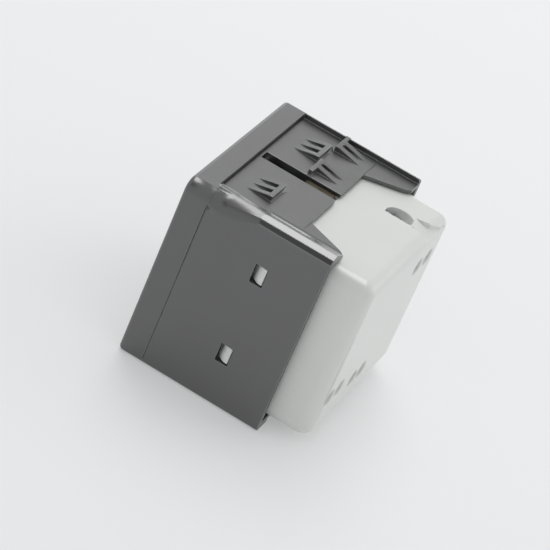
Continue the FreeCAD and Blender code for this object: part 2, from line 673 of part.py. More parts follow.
def earth_rivets():
    """The two rivets that join strip and bar."""
    front = STRIP_BACK - SHEET / 2
    back = STRIP_BACK + SHEET / 2 + EARTH_PLATE
    return Part.makeCompound([fused([rod(SLOT_X, z, RIVET_R, front, back),
                                     rod(SLOT_X, z, RIVET_HEAD_R, front - RIVET_HEAD, front),
                                     rod(SLOT_X, z, RIVET_HEAD_R, back, back + RIVET_HEAD)]) for z in RIVETS_Z])


def terminal_block():
    """Brass block round the origin with a window for tongue, wires and plate, and a leaning thread."""
    floor = -TONGUE_BELOW - TONGUE - BLOCK_FLOOR
    axis = lean_point((SCREW_ABOVE - BLOCK_TOP) / math.cos(LEAN))
    fall = math.tan(LEAN)
    outline = [(BLOCK_FRONT, floor), (BLOCK_BACK, floor), (BLOCK_BACK, BLOCK_TOP - (BLOCK_BACK - axis.y) * fall),
               (axis.y, BLOCK_TOP), (BLOCK_FRONT, BLOCK_TOP)]
    block = side(outline, -BLOCK_WIDE / 2, BLOCK_WIDE / 2)
    window = box(-WINDOW_WIDE / 2, WINDOW_WIDE / 2, BLOCK_FRONT - OVER, BLOCK_BACK + OVER,
                 -TONGUE_BELOW - TONGUE, WINDOW_TOP)
    return block.cut([window, lean_rod(SCREW_R + THREAD_GAP, 0, SCREW_SINK + SCREW_HEAD + SCREW_LONG + OVER)])


def clamp_plate():
    """Steel plate in the window that the screw presses on the wires."""
    front = BLOCK_FRONT + PLATE_IN
    return box(-PLATE_WIDE / 2, PLATE_WIDE / 2, front, front + PLATE_LONG, PLATE_LOW, PLATE_LOW + PLATE)


def terminal_screw():
    """Short screw with a crossed slot, on the leaning line."""
    under = SCREW_SINK + SCREW_HEAD
    screw = fused([lean_rod(SCREW_HEAD_R, SCREW_SINK, under), lean_rod(SCREW_R, SCREW_SINK, under + SCREW_LONG)])
    blade = box(-SCREW_HEAD_R - OVER, SCREW_HEAD_R + OVER, -SCREW_SLOT / 2, SCREW_SLOT / 2, -SCREW_SLOT_DEEP, OVER)
    crossing = box(-SCREW_SLOT / 2, SCREW_SLOT / 2, -SCREW_HEAD_R + SCREW_SLOT, SCREW_HEAD_R - SCREW_SLOT,
                   -SCREW_SLOT_DEEP, OVER)
    cuts = []
    for cut in (blade, crossing):
        cut.rotate(FreeCAD.Vector(0, 0, 0), FreeCAD.Vector(0, 0, 1), SCREW_TURN)
        cut.rotate(FreeCAD.Vector(0, 0, 0), FreeCAD.Vector(1, 0, 0), -SCREW_LEAN)
        cut.translate(lean_point(SCREW_SINK))
        cuts.append(cut)
    return screw.cut(cuts)


def pieces():
    """Every node with its shape, in the frame with the front face at y = 0 and mid-height at z = 0."""
    far, near, earth = terminals()
    places = {"far": far, "near": near, "earth": earth}
    parts = {"front_cover": front_cover(), "rear_housing": rear_housing(),
             "pole_contact_far": pole_contact(-PIN_X, far), "pole_contact_near": pole_contact(PIN_X, near),
             "fork_spring_far": fork_spring(-PIN_X), "fork_spring_near": fork_spring(PIN_X),
             "earth_strip": earth_strip(), "earth_bar": earth_bar(), "earth_rivets": earth_rivets()}
    for name, place in places.items():
        parts["terminal_block_" + name] = seated(terminal_block(), place)
        parts["clamp_plate_" + name] = seated(clamp_plate(), place)
    parts["terminal_screws"] = Part.makeCompound([seated(terminal_screw(), place) for place in places.values()])
    return parts


def main():
    """Move every piece to the part's frame and write it."""
    os.makedirs("parts", exist_ok=True)
    for name, shape in pieces().items():
        placed = shape.copy()
        placed.translate(FreeCAD.Vector(0, -DEPTH / 2, HALF_H))
        placed.exportStep("parts/" + name + ".step")
        bounds = placed.BoundBox
        print(name, len(placed.Solids), placed.isValid(), round(placed.Volume, 1),
              [round(v, 2) for v in (bounds.XMin, bounds.YMin, bounds.ZMin, bounds.XMax, bounds.YMax, bounds.ZMax)])


main()
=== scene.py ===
import json
import math

import bpy
from mathutils import Matrix, Vector


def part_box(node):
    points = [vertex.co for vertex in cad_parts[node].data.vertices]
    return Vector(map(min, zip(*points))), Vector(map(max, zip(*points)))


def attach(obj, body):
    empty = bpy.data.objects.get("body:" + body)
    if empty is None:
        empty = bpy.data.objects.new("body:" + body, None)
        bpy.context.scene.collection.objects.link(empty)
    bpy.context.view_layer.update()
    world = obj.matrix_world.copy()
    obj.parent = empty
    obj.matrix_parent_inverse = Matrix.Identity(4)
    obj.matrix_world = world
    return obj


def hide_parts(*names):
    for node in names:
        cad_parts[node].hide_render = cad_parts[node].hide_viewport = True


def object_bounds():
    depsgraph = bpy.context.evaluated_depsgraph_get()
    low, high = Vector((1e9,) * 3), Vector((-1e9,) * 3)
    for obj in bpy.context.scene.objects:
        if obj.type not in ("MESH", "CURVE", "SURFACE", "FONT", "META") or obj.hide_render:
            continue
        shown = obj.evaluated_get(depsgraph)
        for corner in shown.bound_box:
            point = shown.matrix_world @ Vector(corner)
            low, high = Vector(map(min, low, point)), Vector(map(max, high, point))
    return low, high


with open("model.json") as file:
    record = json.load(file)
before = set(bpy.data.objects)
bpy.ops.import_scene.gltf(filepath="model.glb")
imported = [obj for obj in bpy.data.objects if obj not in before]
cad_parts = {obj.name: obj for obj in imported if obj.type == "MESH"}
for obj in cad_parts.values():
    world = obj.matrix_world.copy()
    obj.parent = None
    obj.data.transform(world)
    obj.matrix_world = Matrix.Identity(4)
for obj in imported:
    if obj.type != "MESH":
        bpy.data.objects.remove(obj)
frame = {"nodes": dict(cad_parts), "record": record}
CAD_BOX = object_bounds()

bl_info = {
    "name": "Socket insert",
    "version": (1, 0, 0),
    "blender": (4, 5, 0),
    "location": "View3D > Sidebar > Socket",
    "description": "Dresses the socket insert with moulded plastics, brass and zinc, and sets its studio",
    "category": "Object",
}

MM = 0.001
BODY = "root"

# Angles in degrees: edges flatter than the first are shaded smooth, edges sharper than the second are
# rounded, and faces that differ by less than the third are joined
SMOOTH_ANGLE = 34.0
ROUNDED_ANGLE = 28.0
FLAT_ANGLE = 0.4

# How near corners are merged, in how many steps an edge is rounded, and the area from which a face
# keeps its shading flat
MERGE_DISTANCE = 0.0005 * MM
ROUND_STEPS = 2
BROAD_FACE = 20.0 * MM * MM

# Noise patterns: scale, detail and roughness
CLOUDS = (90.0, 3.0, 0.5)
SPECKS = (5200.0, 2.0, 0.5)
PATCHES = (420.0, 4.0, 0.6)
BRUSHING = (2800.0, 2.0, 0.5)
STREAKS = (3000.0, 3.0, 0.5)
STAINS = (350.0, 4.0, 0.6)
PAPER_CLOUDS = (3.0, 3.0, 0.5)

# Plastics: the part of each pattern that shows, the share and lift of the specks, and the brushed grain
CLOUD_BAND = (0.3, 0.7)
SPECK_BAND = (0.62, 0.8)
PATCH_BAND = (0.25, 0.75)
SPECK_SHARE = 0.5
SPECK_LIFT = 3
BRUSH_STRETCH = (1.0, 0.04, 1.0)
BRUSH_STRENGTH = 0.2

# The cover's and the housing's plastic: refraction, change of colour in the clouds, change of roughness
# in the rubbed patches, and depth of the grain. The patches stay above a roughness of 0.274, because
# in a render with its noise removed thin pale lines show where they cross it.
COVER_IOR = 1.72
COVER_CLOUD = 0.06
COVER_RUBBED = 0.02
COVER_GRAIN = 0.002 * MM
RIM_HIGHLIGHT_GRAIN = 0.001 * MM
HOUSING_IOR = 1.5
HOUSING_GLOSS = 0.7
HOUSING_CLOUD = 0.01
HOUSING_RUBBED = 0.006

# Metals: the part of each pattern that shows, the tones of the streaks and stains, the roughness that
# stains add, and the relief of the streaks
STREAK_BAND = (0.3, 0.7)
STAIN_BAND = (0.5, 0.75)
DULL_BAND = (0.3, 0.7)
STREAK_TONES = (0.86, 1.1)
STAIN_TONE = 0.45
STAIN_ROUGHNESS = 0.18
STREAK_STRENGTH = 0.25
STREAK_DEPTH = 0.012 * MM

# Metal finishes: material, roughness, stretch of the streaks along the axes, and tarnish
SHEET_BRASS = ("contact_brass_sheet", 0.3, (1.0, 0.04, 1.0), 0.6)
# The earth strip's brass is a darker copy of the contacts' brass: painted shade for the slot it lies in
SHADED_STRIP_BRASS = ("aged_strip_brass", 0.34, (1.0, 0.04, 1.0), 0.8)
SPRING_STEEL = ("spring_steel_sheet", 0.28, (0.06, 1.0, 1.0), 0.3)
BLOCK_BRASS = ("block_brass", 0.34, (0.08, 1.0, 1.0), 0.4)
ZINC_PLATING = ("zinc_plating", 0.2, (1.0, 1.0, 1.0), 0.25)

# Sockets of a Mix node that have no name of their own: two numbers in and one out, two colours in and
# one out
MIX_NUMBERS = (2, 3)
MIXED_NUMBER = 0
MIX_COLOURS = (6, 7)
MIXED_COLOUR = 2

# Face attribute that marks the wire entries' walls for painted shade, and how far past their radius it
# reaches
HOLE_SHADE = "hole_share"
HOLE_SHADE_MARGIN = 0.03 * MM

# Seam behind the band on both sides, which takes the rims' painted highlight to lighten its shade: where it
# starts and ends in depth, and how far out it lies
SEAM = (-16.46 * MM, -16.1 * MM)
SEAM_FROM = 24.6 * MM

# Box in which the rail turns from a round edge into a slope, and a box that holds nothing
RAIL_BLEND = ((17.0 * MM, -16.7 * MM, 36.0 * MM), (25.1 * MM, -4.6 * MM, 46.0 * MM))
NOWHERE = ((0.0, 0.0, 0.0), (0.0, 0.0, 0.0))

# Where the rail is polished: axis and the two places between which the polish sets in
POLISHED_RAIL = (("X", 17.0 * MM, 17.5 * MM), ("Y", -5.4 * MM, -4.9 * MM), ("Z", 43.3 * MM, 43.5 * MM))

# Camera as measured: its place, its axes, its focal length over its sensor, and how near and far it sees
CAMERA_PLACE = (0.55654, 0.12359, 0.36681)
CAMERA_RIGHT = (-0.4078, 0.8449, 0.346)
CAMERA_UP = (-0.3728, -0.5001, 0.7816)
CAMERA_BACK = (0.8335, 0.1898, 0.519)
CAMERA_LENS = 204.7
CAMERA_SENSOR = 36.0
CAMERA_REACH = (0.01, 20.0)

# Floor: its width, how far under the socket it lies, and its finish
FLOOR_WIDTH = 8.0
FLOOR_DROP = 0.02 * MM
FLOOR_ROUGHNESS = 0.9
FLOOR_GLOSS = 0.1
FLOOR_SHADE = 0.99

SKY_COLOUR = (0.985, 0.99, 1.0, 1.0)

# Middle of the darker part of the surroundings, and the cosines between which it fades in
NEAR_SIDE = (0.54, -0.19, 0.82)
NEAR_FADE = (0.93, 0.985)

# Softboxes: name, direction from the object, width, height and distance in metres, strength setting,
# and whether it also lights matt surfaces
SOFTBOXES = (
    ("softbox_top", (-0.352, -0.19, 0.917), 0.4, 0.76, 0.9, "top_watts", True),
    ("softbox_shine", (-0.352, -0.19, 0.917), 0.4, 0.76, 0.89, "shine_watts", False),
    ("softbox_rear", (-0.6, 0.72, 0.34), 0.6, 0.6, 1.0, "rear_watts", True),
    ("softbox_far", (-0.94, -0.19, 0.2), 0.8, 0.4, 1.0, "far_watts", True),
)

CONTACTS = ("pole_contact_far", "pole_contact_near", "earth_bar", "earth_rivets")
BLOCKS = ("terminal_block_far", "terminal_block_near", "terminal_block_earth")
SPRINGS = ("fork_spring_far", "fork_spring_near")
PLATES = ("clamp_plate_far", "clamp_plate_near", "clamp_plate_earth")


class PlasticSettings(bpy.types.PropertyGroup):
    """Colours and finish of the two mouldings, with a painted highlight on the cover's rims and painted
    shade in the wire entries.
    """

    cover: bpy.props.FloatVectorProperty(
        name="Cover", description="Colour of the dark front cover", subtype="COLOR",
        size=3, min=0.0, max=1.0, default=(0.021, 0.0215, 0.0225))
    # Painted highlight: the rims' lighter colour stands for the bright reflections along the cover's
    # rounded edges
    rim_highlight: bpy.props.FloatVectorProperty(
        name="Cover rims", description="Colour of the cover's rubbed edges", subtype="COLOR",
        size=3, min=0.0, max=1.0, default=(0.085, 0.085, 0.083))
    cover_roughness: bpy.props.FloatProperty(
        name="Cover roughness", description="Roughness of the front cover",
        subtype="FACTOR", min=0.0, max=1.0, default=0.3)
    rail_roughness: bpy.props.FloatProperty(
        name="Rail roughness", description="Roughness of the rail's polished faces",
        subtype="FACTOR", min=0.0, max=1.0, default=0.16)
    cover_gloss: bpy.props.FloatProperty(
        name="Cover gloss", description="Specular level of the front cover",
        subtype="FACTOR", min=0.0, max=1.0, default=1.0)
    housing: bpy.props.FloatVectorProperty(
        name="Housing", description="Colour of the white rear housing", subtype="COLOR",
        size=3, min=0.0, max=1.0, default=(0.74, 0.75, 0.725))
    # Painted shade: this darker colour stands for the shade on the walls of the wire entries
    holes: bpy.props.FloatVectorProperty(
        name="Wire entries", description="Colour of the walls of the wire entries", subtype="COLOR",
        size=3, min=0.0, max=1.0, default=(0.17, 0.168, 0.16))
    housing_roughness: bpy.props.FloatProperty(
        name="Housing roughness", description="Roughness of the rear housing",
        subtype="FACTOR", min=0.0, max=1.0, default=0.29)


class MetalSettings(bpy.types.PropertyGroup):
    """Colours of the metal pieces, with painted shade on the earth strip's brass."""

    brass: bpy.props.FloatVectorProperty(
        name="Brass", description="Colour of contacts and terminal blocks", subtype="COLOR",
        size=3, min=0.0, max=1.0, default=(0.34, 0.27, 0.15))
    # Painted shade: the earth strip's brass is darkened to stand for the shade in the slot
    strip: bpy.props.FloatVectorProperty(
        name="Aged brass", description="Colour of the earth strip", subtype="COLOR",
        size=3, min=0.0, max=1.0, default=(0.09, 0.078, 0.05))
    steel: bpy.props.FloatVectorProperty(
        name="Spring steel", description="Colour of the springs", subtype="COLOR",
        size=3, min=0.0, max=1.0, default=(0.42, 0.42, 0.43))
    zinc: bpy.props.FloatVectorProperty(
        name="Zinc", description="Colour of screws and clamp plates", subtype="COLOR",
        size=3, min=0.0, max=1.0, default=(0.72, 0.77, 0.81))


class EdgeSettings(bpy.types.PropertyGroup):
    """Small rounding of moulded edges."""

    cover: bpy.props.FloatProperty(
        name="Cover edges", description="Width of the rounding on the cover's edges",
        subtype="DISTANCE", unit="LENGTH", min=0.0, default=0.14 * MM, precision=5)
    housing: bpy.props.FloatProperty(
        name="Housing edges", description="Width of the rounding on the housing's edges",
        subtype="DISTANCE", unit="LENGTH", min=0.0, default=0.2 * MM, precision=5)
    metal: bpy.props.FloatProperty(
        name="Metal edges", description="Width of the rounding on metal edges",
        subtype="DISTANCE", unit="LENGTH", min=0.0, default=0.06 * MM, precision=5)


class StageSettings(bpy.types.PropertyGroup):
    """Floor, surroundings and lamps."""

    floor: bpy.props.FloatVectorProperty(
        name="Floor", description="Colour of the floor", subtype="COLOR",
        size=3, min=0.0, max=1.0, default=(0.96, 0.965, 0.97))
    floor_plain: bpy.props.FloatProperty(
        name="Floor evenness",
        description="How much of the floor is seen at an even level, without its shadow",
        subtype="FACTOR", min=0.0, max=1.0, default=0.35)
    floor_level: bpy.props.FloatProperty(
        name="Floor level", description="That even level, as a share of the floor's colour",
        subtype="FACTOR", min=0.0, max=1.0, default=0.87)
    surroundings: bpy.props.FloatProperty(
        name="Surroundings", description="Strength of the light from all around",
        min=0.0, max=2.0, default=0.6)
    seen: bpy.props.FloatProperty(
        name="Seen surroundings", description="Strength of the surroundings as seen and mirrored",
        min=0.0, max=1.0, default=0.72)
    seen_near: bpy.props.FloatProperty(
        name="Seen near side", description="The same on the near side, above the viewer",
        min=0.0, max=1.0, default=0.25)
    top_watts: bpy.props.FloatProperty(
        name="Top softbox", description="Power of the softbox over the near side",
        subtype="POWER", unit="POWER", min=0.0, default=2.15)
    shine_watts: bpy.props.FloatProperty(
        name="Shine", description="Power of the softbox that only shows in glossy edges",
        subtype="POWER", unit="POWER", min=0.0, default=1.05)
    rear_watts: bpy.props.FloatProperty(
        name="Rear softbox", description="Power of the softbox behind",
        subtype="POWER", unit="POWER", min=0.0, default=1.2)
    far_watts: bpy.props.FloatProperty(
        name="Far softbox", description="Power of the softbox on the far side",
        subtype="POWER", unit="POWER", min=0.0, default=1.2)


def deselect():
    """Leave nothing selected."""
    bpy.ops.object.select_all(action="DESELECT")


def choose(piece):
    """Select one piece and make it active."""
    deselect()
    piece.select_set(True)
    bpy.context.view_layer.objects.active = piece


def node_tree(name):
    """A new material, its nodes, its links and its shader."""
    material = bpy.data.materials.new(name)
    material.use_nodes = True
    nodes = material.node_tree.nodes
    return material, nodes, material.node_tree.links, nodes["Principled BSDF"]


def noise(nodes, links, place, pattern):
    """Noise pattern read at a place."""
    scale, detail, roughness = pattern
    texture = nodes.new("ShaderNodeTexNoise")
    texture.inputs["Scale"].default_value = scale
    texture.inputs["Detail"].default_value = detail
    texture.inputs["Roughness"].default_value = roughness
    links.new(place, texture.inputs["Vector"])
    return texture.outputs["Fac"]


def ramp(nodes, links, value, band, start, end):
    """A value's band mapped to the range from start to end."""
    low, high = band
    mapped = nodes.new("ShaderNodeMapRange")
    mapped.inputs["From Min"].default_value = low
    mapped.inputs["From Max"].default_value = high
    mapped.inputs["To Min"].default_value = start
    mapped.inputs["To Max"].default_value = end
    links.new(value, mapped.inputs["Value"])
    return mapped.outputs["Result"]


def blend_colours(nodes, links, share, first, second):
    """A colour between two, each a colour or the output of a node."""
    mixed = nodes.new("ShaderNodeMix")
    mixed.data_type = "RGBA"
    links.new(share, mixed.inputs["Factor"])
    for index, colour in zip(MIX_COLOURS, (first, second)):
        socket = mixed.inputs[index]
        if isinstance(colour, bpy.types.NodeSocket):
            links.new(colour, socket)
        else:
            socket.default_value = (*colour, 1.0)
    return mixed.outputs[MIXED_COLOUR]


def object_place(nodes, links, stretch=(1.0, 1.0, 1.0)):
    """Place on the object, stretched along its axes."""
    coordinates = nodes.new("ShaderNodeTexCoord")
    mapping = nodes.new("ShaderNodeMapping")
    mapping.inputs["Scale"].default_value = stretch
    links.new(coordinates.outputs["Object"], mapping.inputs["Vector"])
    return mapping.outputs["Vector"]


def seen_rays(nodes, links):
    """One for light that is seen directly, mirrored or seen through glass, zero for light that falls."""
    rays = nodes.new("ShaderNodeLightPath")
    seen = rays.outputs["Is Camera Ray"]
    for kind in ("Is Glossy Ray", "Is Transmission Ray"):
        either = nodes.new("ShaderNodeMath")
        either.operation = "MAXIMUM"
        links.new(seen, either.inputs[0])
        links.new(rays.outputs[kind], either.inputs[1])
        seen = either.outputs[0]
    return seen


def bump(nodes, links, shader, height, strength, distance, after=None):
    """Fine relief on a shader's normal."""
    relief = nodes.new("ShaderNodeBump")
    relief.inputs["Strength"].default_value = strength
    relief.inputs["Distance"].default_value = distance
    links.new(height, relief.inputs["Height"])
    if after is not None:
        links.new(after, relief.inputs["Normal"])
    links.new(relief.outputs["Normal"], shader.inputs["Normal"])
    return relief.outputs["Normal"]


def scaled(colour, share):
    """A colour made lighter or darker."""
    return tuple(min(1.0, channel * share) for channel in colour)


def within(nodes, links, box):
    """One inside a box of the object, zero outside, with a short fade."""
    place = nodes.new("ShaderNodeSeparateXYZ")
    links.new(object_place(nodes, links), place.inputs[0])
    share = None
    for axis, low, high in box:
        side = ramp(nodes, links, place.outputs[axis], (low, high), 0.0, 1.0)
        if share is None:
            share = side
            continue
        product = nodes.new("ShaderNodeMath")
        product.operation = "MULTIPLY"
        links.new(share, product.inputs[0])
        links.new(side, product.inputs[1])
        share = product.outputs[0]
    return share


def blend_numbers(nodes, links, share, first, second):
    """A number between the output of a node and a fixed one."""
    mixed = nodes.new("ShaderNodeMix")
    links.new(share, mixed.inputs["Factor"])
    links.new(first, mixed.inputs[MIX_NUMBERS[0]])
    mixed.inputs[MIX_NUMBERS[1]].default_value = second
    return mixed.outputs[MIXED_NUMBER]


def moulded(name, colour, roughness, gloss, ior, cloud, rubbed, grain=None, polished=None, hole_shade_colour=None):
    """Moulded plastic: clouds, specks, rubbed patches, brushed grain, a polished place and painted shade in
    the holes.
    """
    material, nodes, links, shader = node_tree(name)
    place = object_place(nodes, links)
    clouds = noise(nodes, links, place, CLOUDS)
    specks = noise(nodes, links, place, SPECKS)
    patches = noise(nodes, links, place, PATCHES)
    base = blend_colours(nodes, links, ramp(nodes, links, clouds, CLOUD_BAND, 0.0, 1.0),
                         scaled(colour, 1 - cloud), scaled(colour, 1 + cloud))
    tone = blend_colours(nodes, links, ramp(nodes, links, specks, SPECK_BAND, 0.0, SPECK_SHARE),
                         base, scaled(colour, 1 + SPECK_LIFT * cloud))
    # Painted shade: the marked walls of the wire entries take the darker colour
    if hole_shade_colour is not None:
        holes = nodes.new("ShaderNodeAttribute")
        holes.attribute_name = HOLE_SHADE
        tone = blend_colours(nodes, links, holes.outputs["Fac"], tone, hole_shade_colour)
    links.new(tone, shader.inputs["Base Color"])
    matt = ramp(nodes, links, patches, PATCH_BAND, roughness - rubbed, roughness + rubbed)
    if polished is not None:
        box, smooth = polished
        matt = blend_numbers(nodes, links, within(nodes, links, box), matt, smooth)
    links.new(matt, shader.inputs["Roughness"])
    shader.inputs["Specular IOR Level"].default_value = gloss
    shader.inputs["IOR"].default_value = ior
    if grain is not None:
        brushing = noise(nodes, links, object_place(nodes, links, BRUSH_STRETCH), BRUSHING)
        brushed = bump(nodes, links, shader, brushing, BRUSH_STRENGTH, grain)
        bump(nodes, links, shader, specks, BRUSH_STRENGTH, grain, brushed)
    return material


def metal(finish, colour):
    """Rolled or plated metal: fine streaks along the sheet and a little tarnish."""
    name, roughness, stretch, tarnish = finish
    material, nodes, links, shader = node_tree(name)
    streaks = noise(nodes, links, object_place(nodes, links, stretch), STREAKS)
    stains = noise(nodes, links, object_place(nodes, links), STAINS)
    dark, light = STREAK_TONES
    base = blend_colours(nodes, links, ramp(nodes, links, streaks, STREAK_BAND, 0.0, 1.0),
                         scaled(colour, dark), scaled(colour, light))
    tone = blend_colours(nodes, links, ramp(nodes, links, stains, STAIN_BAND, 0.0, tarnish),
                         base, scaled(colour, STAIN_TONE))
    links.new(tone, shader.inputs["Base Color"])
    shader.inputs["Metallic"].default_value = 1.0
    dull = ramp(nodes, links, stains, DULL_BAND, roughness, roughness + STAIN_ROUGHNESS)
    links.new(dull, shader.inputs["Roughness"])
    bump(nodes, links, shader, streaks, STREAK_STRENGTH, STREAK_DEPTH)
    return material


def keep_inside(piece, box):
    """Keep a piece's corners within a box."""
    lo, hi = box
    for corner in piece.data.vertices:
        corner.co = [min(max(value, low), high) for value, low, high in zip(corner.co, lo, hi)]


def dress(piece, materials):
    """Give a piece its materials, the first for its faces, the last for its rims, which on the cover carry
    a painted highlight.
    """
    piece.data.materials.clear()
    for material in materials:
        piece.data.materials.append(material)


def inside(place, box):
    """Whether a place lies in a box."""
    lo, hi = box
    return all(low < value < high for low, value, high in zip(lo, place, hi))


def join_flat_faces(piece, plain):
    """Join the triangles of flat faces, apart from those in the box where one form flows into another."""
    bpy.ops.mesh.select_mode(type="FACE")
    bpy.ops.mesh.select_all(action="DESELECT")
    bpy.ops.object.mode_set(mode="OBJECT")
    for face in piece.data.polygons:
        face.select = not inside(face.center, plain)
    bpy.ops.object.mode_set(mode="EDIT")
    bpy.ops.mesh.dissolve_limited(angle_limit=math.radians(FLAT_ANGLE))
    bpy.ops.object.mode_set(mode="OBJECT")


def mark_edges(piece, plain):
    """Mark the sharp edges to be rounded, apart from those in the box where one form flows into another."""
    bpy.ops.object.mode_set(mode="EDIT")
    bpy.ops.mesh.select_mode(type="EDGE")
    bpy.ops.mesh.select_all(action="DESELECT")
    bpy.ops.mesh.edges_select_sharp(sharpness=math.radians(ROUNDED_ANGLE))
    bpy.ops.object.mode_set(mode="OBJECT")
    corners = piece.data.vertices
    weights = piece.data.attributes.new("bevel_weight_edge", "FLOAT", "EDGE")
    for edge, weight in zip(piece.data.edges, weights.data):
        flowing = all(inside(corners[end].co, plain) for end in edge.vertices)
        weight.value = 1.0 if edge.select and not flowing else 0.0


def round_edges(piece, width):
    """Round the marked edges, with the last material on the roundings; on the cover that is a painted
    highlight.
    """
    rounding = piece.modifiers.new("edge_rounding", "BEVEL")
    rounding.width = width
    rounding.segments = ROUND_STEPS
    rounding.limit_method = "WEIGHT"
    rounding.use_clamp_overlap = False
    rounding.material = len(piece.data.materials) - 1
    rounding.miter_outer = "MITER_ARC"
    bpy.ops.object.modifier_apply(modifier=rounding.name)


def shade(piece, plain):
    """Shade flat faces flat and roundings smooth; in the box, only broad faces are kept flat."""
    bpy.ops.object.shade_smooth_by_angle(angle=math.radians(SMOOTH_ANGLE))
    shading = piece.modifiers.new("flat_faces", "WEIGHTED_NORMAL")
    shading.keep_sharp = True
    flat = piece.vertex_groups.new(name="flat")
    broad = {corner for face in piece.data.polygons if face.area > BROAD_FACE for corner in face.vertices}
    flat.add([corner.index for corner in piece.data.vertices
              if corner.index in broad or not inside(corner.co, plain)], 1.0, "REPLACE")
    shading.vertex_group = flat.name
    bpy.ops.object.modifier_apply(modifier=shading.name)


def rounded_copy(node, name, width, materials, plain=NOWHERE):
    """A CAD node's copy with its flat faces joined and its edges rounded, which stands for the node."""
    source = frame["nodes"][node]
    piece = bpy.data.objects.new(name, source.data.copy())
    bpy.context.scene.collection.objects.link(piece)
    dress(piece, materials)
    choose(piece)
    bpy.ops.object.mode_set(mode="EDIT")
    bpy.ops.mesh.select_all(action="SELECT")
    bpy.ops.mesh.remove_doubles(threshold=MERGE_DISTANCE)
    join_flat_faces(piece, plain)
    mark_edges(piece, plain)
    round_edges(piece, width)
    keep_inside(piece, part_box(node))
    shade(piece, plain)
    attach(piece, BODY)
    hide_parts(node)
    return piece


class SOCKET_OT_cover(bpy.types.Operator):
    """Dress the dark front cover"""
    bl_idname = "socket.cover"
    bl_label = "Front cover"

    def execute(self, context):
        plastic = context.scene.socket_plastic
        faces = moulded("dark_cover_plastic", plastic.cover, plastic.cover_roughness, plastic.cover_gloss,
                        COVER_IOR, COVER_CLOUD, COVER_RUBBED, grain=COVER_GRAIN,
                        polished=(POLISHED_RAIL, plastic.rail_roughness))
        # Painted highlight: a lighter colour on the rounded edges and in the seam behind the band
        rim_highlight = moulded("rubbed_cover_rims", plastic.rim_highlight, plastic.cover_roughness, plastic.cover_gloss,
                       COVER_IOR, COVER_CLOUD, COVER_RUBBED, grain=RIM_HIGHLIGHT_GRAIN)
        piece = rounded_copy("front_cover", "cover_moulding", context.scene.socket_edges.cover,
                             (faces, rim_highlight), RAIL_BLEND)
        self.mark_seam(piece)
        return {"FINISHED"}

    def mark_seam(self, piece):
        """Paint the seam behind the band with the rims' painted highlight, which lightens the shade in it.
        """
        start, end = SEAM
        for face in piece.data.polygons:
            if start < face.center.y < end and abs(face.center.x) > SEAM_FROM:
                face.material_index = len(piece.data.materials) - 1


class SOCKET_OT_housing(bpy.types.Operator):
    """Dress the white rear housing"""
    bl_idname = "socket.housing"
    bl_label = "Rear housing"

    def execute(self, context):
        plastic = context.scene.socket_plastic
        faces = moulded("white_housing_plastic", plastic.housing, plastic.housing_roughness, HOUSING_GLOSS,
                        HOUSING_IOR, HOUSING_CLOUD, HOUSING_RUBBED, hole_shade_colour=plastic.holes)
        piece = rounded_copy("rear_housing", "housing_moulding", context.scene.socket_edges.housing,
                             (faces,))
        self.paint_hole_shade(piece)
        return {"FINISHED"}

    def paint_hole_shade(self, piece):
        """Mark the walls of the wire entries, which get painted shade for the shade they lie in."""
        holes = [mount for mount in frame["record"]["mounts"] if mount["name"].startswith("wire_entry")]
        shares = piece.data.attributes.new(HOLE_SHADE, "FLOAT", "FACE")
        for face, share in zip(piece.data.polygons, shares.data):
            for hole in holes:
                radius = hole["dims"]["r_mm"] * MM + HOLE_SHADE_MARGIN
                across = Vector((face.center.x - hole["pos_m"][0], face.center.z - hole["pos_m"][2]))
                along = face.center.y > hole["pos_m"][1] - hole["dims"]["length_mm"] * MM
                if across.length < radius and along:
                    share.value = 1.0


class SOCKET_OT_contacts(bpy.types.Operator):
    """Finish the brass contacts, the earth strip and the springs"""
    bl_idname = "socket.contacts"
    bl_label = "Contacts"

    def execute(self, context):
        colours = context.scene.socket_metal
        brass = metal(SHEET_BRASS, colours.brass)
        # The earth strip takes the darkened brass, which is painted shade
        strip_shade_brass = metal(SHADED_STRIP_BRASS, colours.strip)
        steel = metal(SPRING_STEEL, colours.steel)
        for name in CONTACTS:
            dress(frame["nodes"][name], (brass,))
        dress(frame["nodes"]["earth_strip"], (strip_shade_brass,))
        for name in SPRINGS:
            dress(frame["nodes"][name], (steel,))
        return {"FINISHED"}


class SOCKET_OT_terminals(bpy.types.Operator):
    """Finish the terminal blocks, clamp plates and screws"""
    bl_idname = "socket.terminals"
    bl_label = "Terminals"

    def execute(self, context):
        colours = context.scene.socket_metal
        brass = metal(BLOCK_BRASS, colours.brass)
        zinc = metal(ZINC_PLATING, colours.zinc)
        for name in BLOCKS:
            dress(frame["nodes"][name], (brass,))
        for name in PLATES:
            dress(frame["nodes"][name], (zinc,))
        rounded_copy("terminal_screws", "terminal_screw_heads", context.scene.socket_edges.metal,
                     (zinc,))
        return {"FINISHED"}


def look_from(place, axes):
    """Matrix of a camera at a place, with its right, up and back axes."""
    turn = Matrix([Vector(axis) for axis in axes]).transposed().to_4x4()
    return Matrix.Translation(place) @ turn


